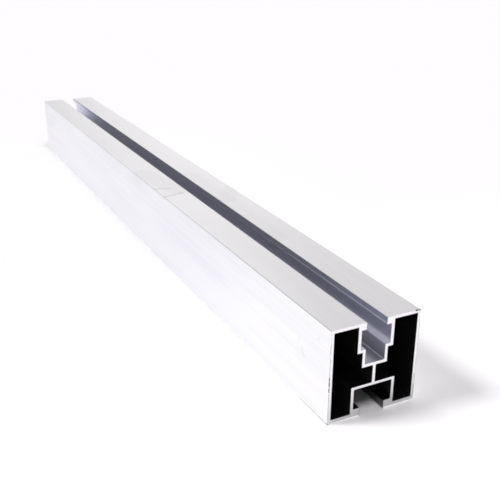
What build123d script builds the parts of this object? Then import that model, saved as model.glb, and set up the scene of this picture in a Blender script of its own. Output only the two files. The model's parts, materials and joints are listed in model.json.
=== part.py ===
from build123d import *
import os

# Aluminium mounting rail: one straight length of extrusion with a square box section, sawn square at both ends.
# A stepped slot along the top takes a hexagon bolt head, and a wider slot along the bottom takes a larger one.
# A web joins the two slots in the middle, and a closed chamber runs along each side.
# Sizes are in millimetres. X runs along the rail and Z is up, from the middle of the bottom face.

# Overall size of the cut length
rail_length = 450.0
rail_width = 40.0
rail_height = 40.0

# Outer walls
side_wall = 1.4
top_wall = 1.3
bottom_wall = 1.8

# Bolts that slide in the slots, with the play that the slots leave them
top_bolt_shank = 8.0
top_bolt_flats = 13.0
bottom_bolt_shank = 10.0
bottom_bolt_flats = 17.0
shank_play = 1.0
head_play = 0.2

# Top slot: lips, the space for the bolt head, the ledges under it and the lower channel
top_lip_height = 3.0
top_slot_wall = 1.5
ledge_depth = 11.1
ledge_thickness = 1.4
lower_channel_width = 8.7
lower_channel_wall = 1.4
lower_channel_depth = 17.6
lower_channel_floor = 1.4

# Web between the two slots
web_thickness = 1.4

# Bottom slot: lips, the space for the bolt head and its roof
bottom_lip_height = 3.6
bottom_slot_wall = 1.35
bottom_roof_height = 13.5
bottom_roof_thickness = 1.25

# Radii that the die leaves: on the outside edges, in the corners of the chambers and of the slots,
# and on the edges of the lips and ledges
outer_radius = 0.3
chamber_radius = 0.3
slot_corner_radius = 0.3
slot_edge_radius = 0.4

# Half widths of the slots, measured from the middle of the rail
top_mouth = (top_bolt_shank + shank_play) / 2
top_head = (top_bolt_flats + head_play) / 2
lower_channel = lower_channel_width / 2
bottom_mouth = (bottom_bolt_shank + shank_play) / 2
bottom_head = (bottom_bolt_flats + head_play) / 2

# Heights above the bottom face
top_lip_underside = rail_height - top_lip_height
ledge_top = rail_height - ledge_depth
ledge_underside = ledge_top - ledge_thickness
channel_floor_top = rail_height - lower_channel_depth
channel_floor_underside = channel_floor_top - lower_channel_floor
roof_underside = bottom_roof_height - bottom_roof_thickness

# Right chamber: its outline follows the outer walls, the walls of both slots and the web
with BuildSketch() as chamber:
    with BuildLine():
        Polyline(
            (rail_width / 2 - side_wall, bottom_wall),
            (rail_width / 2 - side_wall, rail_height - top_wall),
            (top_head + top_slot_wall, rail_height - top_wall),
            (top_head + top_slot_wall, ledge_underside),
            (lower_channel + lower_channel_wall, ledge_underside),
            (lower_channel + lower_channel_wall, channel_floor_underside),
            (web_thickness / 2, channel_floor_underside),
            (web_thickness / 2, bottom_roof_height),
            (bottom_head + bottom_slot_wall, bottom_roof_height),
            (bottom_head + bottom_slot_wall, bottom_wall),
            close=True,
        )
    make_face()
    fillet(chamber.vertices(), chamber_radius)

with BuildPart() as rail_profile:
    with BuildSketch(Plane.YZ) as section:
        Rectangle(rail_width, rail_height, align=(Align.CENTER, Align.MIN))
        fillet(section.vertices(), outer_radius)

        # A chamber on each side of the web
        add(chamber.sketch, mode=Mode.SUBTRACT)
        mirror(chamber.sketch, about=Plane.YZ, mode=Mode.SUBTRACT)

        # Top slot, from its mouth down past the ledges to the floor of the lower channel
        with BuildLine():
            FilletPolyline(
                (0, rail_height),
                (top_mouth, rail_height),
                (top_mouth, top_lip_underside),
                (top_head, top_lip_underside),
                (top_head, ledge_top),
                (lower_channel, ledge_top),
                (lower_channel, channel_floor_top),
                (0, channel_floor_top),
                radius=(
                    0,
                    slot_edge_radius,
                    slot_corner_radius,
                    slot_corner_radius,
                    slot_edge_radius,
                    slot_corner_radius,
                ),
            )
            mirror(about=Plane.YZ)
        make_face(mode=Mode.SUBTRACT)
        top_mouth_edges = section.vertices(Select.LAST).group_by(Axis.Y)[-1]
        fillet(top_mouth_edges, slot_edge_radius)

        # Bottom slot, from its mouth up to the roof
        with BuildLine():
            FilletPolyline(
                (0, 0),
                (bottom_mouth, 0),
                (bottom_mouth, bottom_lip_height),
                (bottom_head, bottom_lip_height),
                (bottom_head, roof_underside),
                (0, roof_underside),
                radius=(0, slot_edge_radius, slot_corner_radius, slot_corner_radius),
            )
            mirror(about=Plane.YZ)
        make_face(mode=Mode.SUBTRACT)
        bottom_mouth_edges = section.vertices(Select.LAST).group_by(Axis.Y)[0]
        fillet(bottom_mouth_edges, slot_edge_radius)
    extrude(amount=rail_length / 2, both=True)

os.makedirs("parts", exist_ok=True)
rail_profile.part.label = "rail_profile"
export_step(rail_profile.part, "parts/rail_profile.step")
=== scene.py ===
import json
import math

import bpy
from mathutils import Euler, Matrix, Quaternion, Vector


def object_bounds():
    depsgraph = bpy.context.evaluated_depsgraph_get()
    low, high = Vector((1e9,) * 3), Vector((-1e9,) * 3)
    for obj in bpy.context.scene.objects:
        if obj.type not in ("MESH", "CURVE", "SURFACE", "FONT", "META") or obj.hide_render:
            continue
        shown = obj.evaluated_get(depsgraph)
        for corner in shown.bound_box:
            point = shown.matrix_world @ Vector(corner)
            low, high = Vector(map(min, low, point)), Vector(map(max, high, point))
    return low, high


# Studio view of one cut length of slotted aluminium rail, lying on a white floor.
# Lengths are in metres and angles in degrees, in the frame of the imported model: X along the rail, Z up.

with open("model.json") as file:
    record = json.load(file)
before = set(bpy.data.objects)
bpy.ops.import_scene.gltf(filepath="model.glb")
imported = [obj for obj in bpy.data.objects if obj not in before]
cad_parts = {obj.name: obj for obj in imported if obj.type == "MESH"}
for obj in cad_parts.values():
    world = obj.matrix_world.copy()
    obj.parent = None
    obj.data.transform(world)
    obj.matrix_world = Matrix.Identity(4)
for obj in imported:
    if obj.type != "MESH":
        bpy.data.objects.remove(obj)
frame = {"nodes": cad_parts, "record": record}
cad_low, cad_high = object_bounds()
rail = frame["nodes"]["rail_profile"]
openings = {row["name"]: row["box_m"] for row in frame["record"]["physics"]["openings"]}

# Camera, measured from the middle of the near end's bottom edge
CAMERA_FROM_NEAR_END = Vector((0.20381, -0.15516, 0.17183))
CAMERA_HEADING = 153.30
CAMERA_PITCH = -22.46
CAMERA_ROLL = 0.13
CAMERA_LENS_MM = 55.4
SENSOR_WIDTH_MM = 36.0

# Key lamp: soft, from the left and a little from the far end
KEY_TRAVEL = Vector((14.0, 36.0, -40.0))
KEY_STRENGTH = 1.91
KEY_ANGLE = 19.0

# Fill lamp: softer, from high up in front
FILL_TRAVEL = Vector((-40.0, 0.0, -90.0))
FILL_STRENGTH = 0.97
FILL_ANGLE = 24.0

# Soft panels of the studio, each as azimuth, elevation, reach and brightness: those that light the floor,
# and those that the metal reflects, of which the last three serve the sides that the camera doesn't see
FLOOR_PANELS = (
    (0.0, 35.0, 50.0, 0.14),
    (90.0, 35.0, 50.0, 0.38),
    (120.0, 60.0, 35.0, 0.97),
)
METAL_PANELS = (
    (135.0, 5.0, 40.0, 0.38),
    (180.0, 5.0, 40.0, 0.64),
    (90.0, 38.0, 40.0, 0.55),
    (135.0, 38.0, 40.0, 0.47),
    (180.0, 38.0, 40.0, 0.24),
    (0.0, 90.0, 45.0, 0.95),
    (240.0, 45.0, 35.0, 0.20),
    (262.0, 25.0, 55.0, 0.70),
    (330.0, 25.0, 60.0, 0.70),
    (40.0, 25.0, 60.0, 0.70),
)

# Share of a panel's reach within which it has its full brightness
PANEL_CORE = 0.25

# What the camera sees past the floor
WHITE = (1.0, 1.0, 1.0, 1.0)
WHITE_STRENGTH = 1.0

# Floor: its own colour, and the brighter ones that the camera and the metal see, far off and near the
# camera, the near one a painted pool of light, with the places along X between which they change
FLOOR_HALF_SIZE = 6.0
FLOOR_COLOUR = (0.80, 0.79, 0.80, 1.0)
FLOOR_SEEN_FAR = (1.03, 1.005, 1.03, 1.0)
FLOOR_NEAR_PAINTED_LIGHT = (1.15, 1.12, 1.15, 1.0)
FLOOR_NEAR_FADE = (0.005, 0.185)

# Depth of a flat face's skin, and how far a mask reaches past a stated opening to take in its walls
SKIN = 0.00002
WALL_REACH = 0.0004

# Patterns of the finish, in noise periods per metre along X, Y and Z
LINES = (2.0, 1800.0, 1800.0)
STREAKS = (2.0, 450.0, 450.0)
CLOUDS = (11.0, 75.0, 75.0)
SAWN_GRAIN = (1200.0, 1200.0, 1200.0)
RIM_GRAIN = (900.0, 900.0, 300.0)
MARK_GRAIN = (1100.0, 1100.0, 1100.0)

# Noise values between which each pattern goes from one look to the other
LINE_LIMITS = (0.3, 0.7)
CLOUD_LIMITS = (0.38, 0.62)
SAWN_LIMITS = (0.35, 0.65)
RIM_LIMITS = (0.40, 0.60)
MARK_LIMITS = (0.34, 0.52)

# Detail of the clouds, and the streaks' share in them
CLOUD_DETAIL = 3.0
STREAK_SHARE = 0.35

# Height over which the sides get lighter towards the floor, a painted light
SIDE_FADE = 0.018

# Top slot: the length over which it gets lighter towards an end, the height of the dark upper edges
# of its lips, and the height over which the ledges' tone fades up the walls
SLOT_END_LENGTH = 0.07
SLOT_EDGE_HEIGHT = 0.0004
LEDGE_FADE = 0.0020

# Painted highlight line on the lips: the depths under the top face at which it starts and is full, its
# length from an end, and its share of matt finish
HIGHLIGHT_TOP = 0.0019
HIGHLIGHT_FULL = 0.0023
HIGHLIGHT_LENGTH = 0.12
HIGHLIGHT_MATT = 0.26

# Lower channel: the shares of its half width at which the painted light on its floor starts, on the right,
# and is full, on the left, and the width of the painted highlight line in its corners
FLOOR_LIGHT_START = 0.6
FLOOR_LIGHT_FULL = 0.5
CORNER_WIDTH = 0.00016

# Sawn ends: the reach of the painted shade at the edges around the openings, the width of the greyer rim,
# partly wear and partly painted shade, the height of the burr, painted white as a highlight, and the
# height and strength of the greyer lower part, a painted shade
EDGE_REACH = 0.00025
RIM_WIDTH = 0.0003
BURR_HEIGHT = 0.0005
LOW_SHADE_HEIGHT = 0.018
LOW_SHADE_SHARE = 0.40

# Shares of the rim's width and of the burr's height that fade, and the least strength of the broken-up rim
RIM_FADE = 0.5
BURR_FADE = 0.4
RIM_LEAST = 0.3

# Roughness of the outside, from the lowest to the highest, of the top slot and of the sawn ends
LINE_ROUGHNESS = (0.28, 0.31)
SLOT_ROUGHNESS = 0.40
SAWN_ROUGHNESS = 0.35

# Bump of the fine lines
BUMP_STRENGTH = 0.015
BUMP_DEPTH = 0.00002

# Colours of the metal, linear
# Top and sides are one metal: the top's darker, warmer colours are painted shade,
# and the sides' low colour, lighter towards the floor, is painted light
SIDE_LIGHT = (0.88, 0.89, 0.92, 1.0)
SIDE_DARK = (0.83, 0.84, 0.88, 1.0)
SIDE_LOW_PAINTED_LIGHT = (0.89, 0.90, 0.93, 1.0)
TOP_LIGHT = (0.87, 0.85, 0.87, 1.0)
TOP_DARK = (0.84, 0.82, 0.84, 1.0)
SAWN_LIGHT = (0.92, 0.92, 0.925, 1.0)
SAWN_DARK = (0.82, 0.82, 0.83, 1.0)
# Painted on the sawn ends: shade at the openings' edges and on the lower part, and the burr white as a
# highlight
SAWN_EDGE_SHADE = (0.35, 0.35, 0.36, 1.0)
SAWN_RIM = (0.40, 0.40, 0.41, 1.0)
SAWN_BURR_HIGHLIGHT = (1.0, 1.0, 1.0, 1.0)
SLOT_SHADE = (0.58, 0.59, 0.67, 1.0)
SLOT_END_SHADE = (0.74, 0.755, 0.89, 1.0)
SLOT_EDGE_SHADE = (0.48, 0.485, 0.55, 1.0)
LEDGE_SHADE = (0.94, 0.93, 1.0, 1.0)
# Painted highlight, for the bright lines on the lips and in the channel's corners
HIGHLIGHT_LINE = (0.94, 0.96, 1.0, 1.0)
# Painted shade in the lower channel, darker down its walls, and painted light on the left of its floor
CHANNEL_LOW_SHADE = (0.48, 0.49, 0.53, 1.0)
CHANNEL_HIGH_SHADE = (0.70, 0.71, 0.77, 1.0)
CHANNEL_FLOOR_LIGHT = (0.94, 0.95, 0.98, 1.0)
UNDER_SHADE = (0.13, 0.13, 0.135, 1.0)
CHAMBER_SHADE = (0.26, 0.26, 0.27, 1.0)
SCUFF = (0.40, 0.40, 0.41, 1.0)
# Dark colour of the nicks and dirt, and of one painted contact shadow
DIRT_AND_SHADOW = (0.05, 0.05, 0.055, 1.0)

# Scuffs, smudges, nicks and dirt, and one painted contact shadow: start and end in millimetres, with X
# from the near end, then half the width in millimetres, the colour and how much of it, past 1 where it is
# hardly broken up
MARKS = (
    ((-184.0, -20.0, 40.0), (-181.0, -12.0, 40.0), 1.2, SCUFF, 0.45),
    ((-168.0, -20.0, 40.0), (-171.0, -8.0, 40.0), 1.4, SCUFF, 0.45),
    ((-215.0, -16.0, 40.0), (-176.0, -9.0, 40.0), 9.0, SCUFF, 0.13),
    ((-90.0, 7.0, 40.0), (-200.0, 9.0, 40.0), 7.0, SCUFF, 0.14),
    ((-150.0, 9.0, 40.0), (-166.0, 20.0, 40.0), 7.0, SCUFF, 0.11),
    ((-22.5, -20.0, 26.0), (-22.5, -20.0, 24.2), 0.3, SCUFF, 0.5),
    ((-20.0, -20.0, 23.0), (-18.0, -20.0, 20.0), 0.3, SCUFF, 0.5),
    ((-7.5, -20.0, 34.0), (-8.7, -20.0, 32.0), 0.3, SCUFF, 0.35),
    ((0.0, 17.8, 39.9), (0.0, 19.3, 39.9), 0.60, DIRT_AND_SHADOW, 4.0),
    ((0.0, -19.9, 13.5), (0.0, -19.9, 20.5), 0.36, DIRT_AND_SHADOW, 0.9),
    # Painted contact shadow along the foot of the left side at the near end
    ((0.0, -20.0, 0.0), (-20.0, -20.0, 0.0), 0.40, DIRT_AND_SHADOW, 0.9),
    ((0.0, -19.8, 0.0), (-1.0, -19.8, 0.2), 0.70, DIRT_AND_SHADOW, 0.8),
)
MM = 0.001

# Share of a mark's half width within which it doesn't fade
MARK_CORE = 0.4


class Tree:
    """A node tree with short calls for the nodes that this scene uses."""

    # Sockets of the mix node, which has a set for each kind of value: both inputs and the output
    NUMBER_SOCKETS = (2, 3, 0)
    COLOUR_SOCKETS = (6, 7, 2)

    def __init__(self, tree):
        tree.nodes.clear()
        self.nodes = tree.nodes
        self.links = tree.links

    def put(self, socket, value):
        if isinstance(value, bpy.types.NodeSocket):
            self.links.new(value, socket)
        else:
            socket.default_value = value

    def node(self, kind, settings=None, **sockets):
        made = self.nodes.new(kind)
        for name, value in (settings or {}).items():
            setattr(made, name, value)
        for name, value in sockets.items():
            self.put(made.inputs[name.replace("_", " ")], value)
        return made

    def math(self, operation, *values, clamp=False):
        made = self.node("ShaderNodeMath", {"operation": operation, "use_clamp": clamp})
        for socket, value in zip(made.inputs, values):
            self.put(socket, value)
        return made.outputs[0]

    def product(self, first, *others):
        """All the values multiplied."""
        total = first
        for other in others:
            total = self.math("MULTIPLY", total, other)
        return total

    def any_mix(self, kind, sockets, share, first, second):
        """Mix of two values of one kind."""
        first_input, second_input, output = sockets
        made = self.node("ShaderNodeMix", {"data_type": kind}, Factor=share)
        self.put(made.inputs[first_input], first)
        self.put(made.inputs[second_input], second)
        return made.outputs[output]

    def mix(self, share, first, second):
        """Mix of two colours."""
        return self.any_mix("RGBA", self.COLOUR_SOCKETS, share, first, second)

    def blend(self, share, first, second):
        """Mix of two numbers."""
        return self.any_mix("FLOAT", self.NUMBER_SOCKETS, share, first, second)

    def ramp(self, value, low, high, start=0.0, end=1.0):
        """Smooth change from start to end while the value goes from low to high."""
        made = self.node("ShaderNodeMapRange", {"interpolation_type": "SMOOTHSTEP"})
        for socket, number in zip(made.inputs, (value, low, high, start, end)):
            self.put(socket, number)
        return made.outputs[0]

    def vector(self, operation, first, second):
        """Vector maths with two inputs, giving the output that the operation fills."""
        made = self.node("ShaderNodeVectorMath", {"operation": operation})
        self.put(made.inputs[0], first)
        if operation == "SCALE":
            self.put(made.inputs["Scale"], second)
        else:
            self.put(made.inputs[1], second)
        return made.outputs["Value" if operation in ("DOT_PRODUCT", "DISTANCE") else "Vector"]

    def noise(self, place, stretch, detail=2.0):
        """Noise with its own number of periods per metre along X, Y and Z."""
        made = self.node("ShaderNodeTexNoise", Scale=1.0, Detail=detail)
        self.put(made.inputs["Vector"], self.vector("MULTIPLY", place, stretch))
        return made.outputs["Fac"]

    def stroke(self, place, start, end, half_width):
        """1 on the line from start to end, fading to 0 at half its width."""
        run = end - start
        offset = self.vector("SUBTRACT", place, start)
        along = self.vector("DOT_PRODUCT", offset, run)
        share = self.math("DIVIDE", along, run.length_squared, clamp=True)
        whole = self.node("ShaderNodeCombineXYZ", X=run.x, Y=run.y, Z=run.z).outputs["Vector"]
        nearest = self.vector("SCALE", whole, share)
        gap = self.vector("DISTANCE", offset, nearest)
        return self.ramp(gap, half_width * MARK_CORE, half_width, 1.0, 0.0)


class Surface:
    """Where a point of the rail lies: its coordinates, and masks that are 1 on one part of the surface."""

    def __init__(self, tree):
        self.tree = tree
        self.place = tree.node("ShaderNodeTexCoord").outputs["Object"]
        split = tree.node("ShaderNodeSeparateXYZ", Vector=self.place)
        self.rightward = split.outputs["Y"]
        self.along = tree.math("ABSOLUTE", split.outputs["X"])
        self.across = tree.math("ABSOLUTE", self.rightward)
        self.height = split.outputs["Z"]
        self.end = tree.math("GREATER_THAN", self.along, cad_high.x - SKIN)
        self.top = tree.math("GREATER_THAN", self.height, cad_high.z - SKIN)
        self.inner = tree.math("SUBTRACT", 1.0, tree.math("MAXIMUM", self.end, self.top))
        self.in_slot = self.inner_walls(["top_slot_mouth", "top_slot_head_space"])
        self.in_channel = self.inner_walls(["lower_channel"])
        self.in_under = self.inner_walls(["bottom_slot_mouth", "bottom_slot_head_space"])
        chambers = [name for name in openings if name.startswith("right_chamber")]
        self.in_chamber = self.inner_walls(chambers)

    def inside(self, low, high, margin=0.0):
        """1 where a point's distance from the middle plane and its height lie in a box."""
        tree = self.tree
        return tree.product(
            tree.math("GREATER_THAN", self.across, low[0] - margin),
            tree.math("LESS_THAN", self.across, high[0] + margin),
            tree.math("GREATER_THAN", self.height, low[1] - margin),
            tree.math("LESS_THAN", self.height, high[1] + margin),
        )

    def around(self, names, reach):
        """1 as far as the reach past the named openings, on both sides of the middle plane."""
        share = 0.0
        for name in names:
            low, high = openings[name]
            near = 0.0 if low[1] < 0 < high[1] else min(abs(low[1]), abs(high[1]))
            far = max(abs(low[1]), abs(high[1]))
            share = self.tree.math("MAXIMUM", share, self.inside((near, low[2]), (far, high[2]), reach))
        return share

    def inner_walls(self, names):
        """1 on the walls of the named openings, without the sawn ends and the top face."""
        return self.tree.product(self.around(names, WALL_REACH), self.inner)


def new_material(name):
    material = bpy.data.materials.new(name)
    material.use_nodes = True
    return material, Tree(material.node_tree)


def outside_colour(tree, surface):
    """Top and sides, with streaks and slow clouds, the top's own colours a little darker and warmer than
    the sides' as painted shade, and the sides lighter towards the floor as painted light.
    """
    streaks = tree.noise(surface.place, STREAKS)
    clouds = tree.noise(surface.place, CLOUDS, CLOUD_DETAIL)
    cloudy = tree.ramp(tree.blend(STREAK_SHARE, clouds, streaks), *CLOUD_LIMITS)
    side = tree.mix(cloudy, SIDE_DARK, SIDE_LIGHT)
    side_low_light = tree.ramp(surface.height, cad_low.z + SIDE_FADE, cad_low.z)
    side = tree.mix(side_low_light, side, SIDE_LOW_PAINTED_LIGHT)
    return tree.mix(surface.top, side, tree.mix(cloudy, TOP_DARK, TOP_LIGHT))


def lip_highlight_mask(tree, surface):
    """1 on the painted highlight line along the lower edges of the top slot's lips, fading away from the
    ends.
    """
    mouth_high = openings["top_slot_mouth"][1]
    return tree.product(
        surface.in_slot,
        tree.math("LESS_THAN", surface.across, mouth_high[1] + WALL_REACH),
        tree.ramp(surface.height, cad_high.z - HIGHLIGHT_TOP, cad_high.z - HIGHLIGHT_FULL),
        tree.ramp(surface.along, cad_high.x - HIGHLIGHT_LENGTH, cad_high.x),
    )


def slot_colour(tree, surface, lip_highlight):
    """Top slot in painted shade: lighter towards the ends, bluer on the ledges, with a painted highlight
    line on the lips and darker upper edges.
    """
    near_end = tree.ramp(surface.along, cad_high.x - SLOT_END_LENGTH, cad_high.x)
    colour = tree.mix(near_end, SLOT_SHADE, SLOT_END_SHADE)
    ledge_top = openings["top_slot_head_space"][0][2]
    ledge = tree.ramp(surface.height, ledge_top + LEDGE_FADE, ledge_top)
    colour = tree.mix(ledge, colour, LEDGE_SHADE)
    colour = tree.mix(lip_highlight, colour, HIGHLIGHT_LINE)
    upper_edge = tree.math("GREATER_THAN", surface.height, cad_high.z - SLOT_EDGE_HEIGHT)
    return tree.mix(upper_edge, colour, SLOT_EDGE_SHADE)


def channel_corner_highlight(tree, surface):
    """1 on the painted highlight line in the lower corners of the channel."""
    low, high = openings["lower_channel"]
    corner_low = (high[1] - CORNER_WIDTH, low[2] - WALL_REACH)
    corner_high = (high[1], low[2] + CORNER_WIDTH)
    return tree.product(surface.in_channel, surface.inside(corner_low, corner_high))


def channel_colour(tree, surface, corners):
    """Lower channel in painted shade, darker down its walls, with painted light on the left half of its
    floor.
    """
    low, high = openings["lower_channel"]
    ledge_top = openings["top_slot_head_space"][0][2]
    upward = tree.ramp(surface.height, low[2], ledge_top)
    colour = tree.mix(upward, CHANNEL_LOW_SHADE, CHANNEL_HIGH_SHADE)
    floor_light = tree.ramp(surface.rightward, FLOOR_LIGHT_START * high[1], FLOOR_LIGHT_FULL * low[1])
    floor = tree.math("LESS_THAN", surface.height, low[2])
    colour = tree.mix(tree.product(floor_light, floor), colour, CHANNEL_FLOOR_LIGHT)
    return tree.mix(corners, colour, HIGHLIGHT_LINE)


def sawn_colour(tree, surface):
    """Sawn ends: fine grain, a greyer rim, partly wear and partly painted shade, a lower part greyer as
    painted shade, the burr painted white as a highlight, and painted shade at the edges of the openings.
    """
    grain = tree.noise(surface.place, SAWN_GRAIN)
    colour = tree.mix(tree.ramp(grain, *SAWN_LIMITS), SAWN_DARK, SAWN_LIGHT)
    # Grey rim: partly wear, partly painted shade
    rim = tree.ramp(surface.across, cad_high.y - RIM_WIDTH, cad_high.y - (1.0 - RIM_FADE) * RIM_WIDTH)
    rim_breakup = tree.ramp(tree.noise(surface.place, RIM_GRAIN), *RIM_LIMITS, RIM_LEAST, 1.0)
    colour = tree.mix(tree.product(rim, rim_breakup), colour, SAWN_RIM)
    # Painted shade: the lower part greyer
    low_shade = tree.ramp(surface.height, cad_low.z + LOW_SHADE_HEIGHT, cad_low.z, 0.0, LOW_SHADE_SHARE)
    colour = tree.mix(low_shade, colour, SAWN_RIM)
    # Painted highlight: the burr along the bottom edge white
    burr_highlight = tree.ramp(surface.height, cad_low.z + BURR_HEIGHT, cad_low.z + (1.0 - BURR_FADE) * BURR_HEIGHT)
    colour = tree.mix(burr_highlight, colour, SAWN_BURR_HIGHLIGHT)
    # Painted shade at the edges of the openings
    return tree.mix(surface.around(openings, EDGE_REACH), colour, SAWN_EDGE_SHADE)


def add_marks(tree, surface, colour):
    """The colour with all the marks on it, broken up by noise."""
    broken = tree.ramp(tree.noise(surface.place, MARK_GRAIN), *MARK_LIMITS)
    for start, stop, half_width, stain, share in MARKS:
        ends = [Vector((cad_high.x + x * MM, y * MM, cad_low.z + z * MM)) for x, y, z in (start, stop)]
        stroke = tree.stroke(surface.place, *ends, half_width * MM)
        strength = tree.math("MULTIPLY", broken, share, clamp=True)
        colour = tree.mix(tree.product(stroke, strength), colour, stain)
    return colour


def aluminium_material():
    material, tree = new_material("satin_aluminium")
    surface = Surface(tree)
    lip_highlight = lip_highlight_mask(tree, surface)
    corners = channel_corner_highlight(tree, surface)

    # Colour of each part of the surface
    colour = outside_colour(tree, surface)
    colour = tree.mix(surface.in_slot, colour, slot_colour(tree, surface, lip_highlight))
    colour = tree.mix(surface.in_channel, colour, channel_colour(tree, surface, corners))
    colour = tree.mix(surface.in_under, colour, UNDER_SHADE)
    colour = tree.mix(surface.in_chamber, colour, CHAMBER_SHADE)
    colour = tree.mix(surface.end, colour, sawn_colour(tree, surface))
    colour = add_marks(tree, surface, colour)

    # Gloss, with the fine lines that the die leaves
    lines = tree.noise(surface.place, LINES)
    roughness = tree.ramp(lines, *LINE_LIMITS, *LINE_ROUGHNESS)
    in_top_slot = tree.math("MAXIMUM", surface.in_slot, surface.in_channel)
    roughness = tree.blend(in_top_slot, roughness, SLOT_ROUGHNESS)
    roughness = tree.blend(surface.end, roughness, SAWN_ROUGHNESS)
    # The painted highlight lines are partly matt as well
    matt = tree.product(tree.math("MAXIMUM", lip_highlight, corners), HIGHLIGHT_MATT)
    bump = tree.node("ShaderNodeBump", Strength=BUMP_STRENGTH, Distance=BUMP_DEPTH, Height=lines)

    shader = tree.node("ShaderNodeBsdfPrincipled", Base_Color=colour, Roughness=roughness)
    tree.put(shader.inputs["Metallic"], tree.math("SUBTRACT", 1.0, matt))
    tree.put(shader.inputs["Normal"], bump.outputs["Normal"])
    tree.node("ShaderNodeOutputMaterial", Surface=shader.outputs["BSDF"])
    return material


def seen_or_reflected(tree):
    """1 for rays from the camera and rays that the object reflects or lets through, else 0."""
    path = tree.node("ShaderNodeLightPath")
    seen = tree.math("MAXIMUM", path.outputs["Is Camera Ray"], path.outputs["Is Glossy Ray"])
    return tree.math("MAXIMUM", seen, path.outputs["Is Transmission Ray"])


def floor_material():
    material, tree = new_material("white_floor")
    place = tree.node("ShaderNodeTexCoord").outputs["Object"]
    along = tree.node("ShaderNodeSeparateXYZ", Vector=place).outputs["X"]
    # Painted pool of light: the floor that is seen gets brighter towards the rail's near end
    bright = tree.mix(tree.ramp(along, *FLOOR_NEAR_FADE), FLOOR_SEEN_FAR, FLOOR_NEAR_PAINTED_LIGHT)
    colour = tree.mix(seen_or_reflected(tree), FLOOR_COLOUR, bright)
    diffuse = tree.node("ShaderNodeBsdfDiffuse", Color=colour)
    tree.node("ShaderNodeOutputMaterial", Surface=diffuse.outputs["BSDF"])
    return material


def build_floor():
    corners = [
        (x * FLOOR_HALF_SIZE, y * FLOOR_HALF_SIZE, cad_low.z)
        for x, y in ((-1, -1), (1, -1), (1, 1), (-1, 1))
    ]
    mesh = bpy.data.meshes.new("floor")
    mesh.from_pydata(corners, [], [(0, 1, 2, 3)])
    floor = bpy.data.objects.new("floor", mesh)
    floor.data.materials.append(floor_material())
    bpy.context.scene.collection.objects.link(floor)


def panel_light(tree, direction, panels):
    """Brightness of the studio in a direction, as the sum of its soft panels."""
    total = 0.0
    for azimuth, elevation, reach, brightness in panels:
        start = math.cos(math.radians(reach))
        full = math.cos(math.radians(reach * PANEL_CORE))
        turn = Euler((0.0, math.radians(-elevation), math.radians(azimuth)))
        axis = turn.to_matrix() @ Vector((1.0, 0.0, 0.0))
        towards = tree.vector("DOT_PRODUCT", direction, axis)
        total = tree.math("ADD", total, tree.ramp(towards, start, full, 0.0, brightness))
    return total


def build_world():
    """White for the camera, with one set of panels for the metal's reflections and one for the floor."""
    world = bpy.data.worlds.new("studio")
    bpy.context.scene.world = world
    world.use_nodes = True
    tree = Tree(world.node_tree)
    path = tree.node("ShaderNodeLightPath")
    direction = tree.node("ShaderNodeTexCoord").outputs["Generated"]
    on_floor = panel_light(tree, direction, FLOOR_PANELS)
    on_metal = panel_light(tree, direction, METAL_PANELS)
    strength = tree.blend(path.outputs["Is Glossy Ray"], on_floor, on_metal)
    strength = tree.blend(path.outputs["Is Camera Ray"], strength, WHITE_STRENGTH)
    background = tree.node("ShaderNodeBackground", Color=WHITE, Strength=strength)
    tree.node("ShaderNodeOutputWorld", Surface=background.outputs["Background"])


def build_lamp(name, travel, strength, angle):
    """A lamp for matt faces: the metal reflects the panels alone, so that no glare burns it out."""
    data = bpy.data.lights.new(name, "SUN")
    data.energy = strength
    data.angle = math.radians(angle)
    lamp = bpy.data.objects.new(name, data)
    lamp.rotation_euler = travel.to_track_quat("-Z", "Y").to_euler()
    lamp.visible_glossy = False
    bpy.context.scene.collection.objects.link(lamp)


def build_camera():
    data = bpy.data.cameras.new("camera")
    data.sensor_fit = "HORIZONTAL"
    data.sensor_width = SENSOR_WIDTH_MM
    data.lens = CAMERA_LENS_MM
    camera = bpy.data.objects.new("camera", data)
    near_end = Vector((cad_high.x, 0.0, cad_low.z))
    camera.location = near_end + CAMERA_FROM_NEAR_END
    level = Euler((math.radians(90 + CAMERA_PITCH), 0.0, math.radians(CAMERA_HEADING - 90)))
    roll = Quaternion((0.0, 0.0, 1.0), math.radians(CAMERA_ROLL))
    camera.rotation_euler = (level.to_quaternion() @ roll).to_euler()
    bpy.context.scene.collection.objects.link(camera)
    bpy.context.scene.camera = camera


rail.material_slots[0].material = aluminium_material()
build_floor()
build_world()
build_lamp("key", KEY_TRAVEL, KEY_STRENGTH, KEY_ANGLE)
build_lamp("fill", FILL_TRAVEL, FILL_STRENGTH, FILL_ANGLE)
build_camera()
bpy.context.scene.view_settings.view_transform = "Standard"
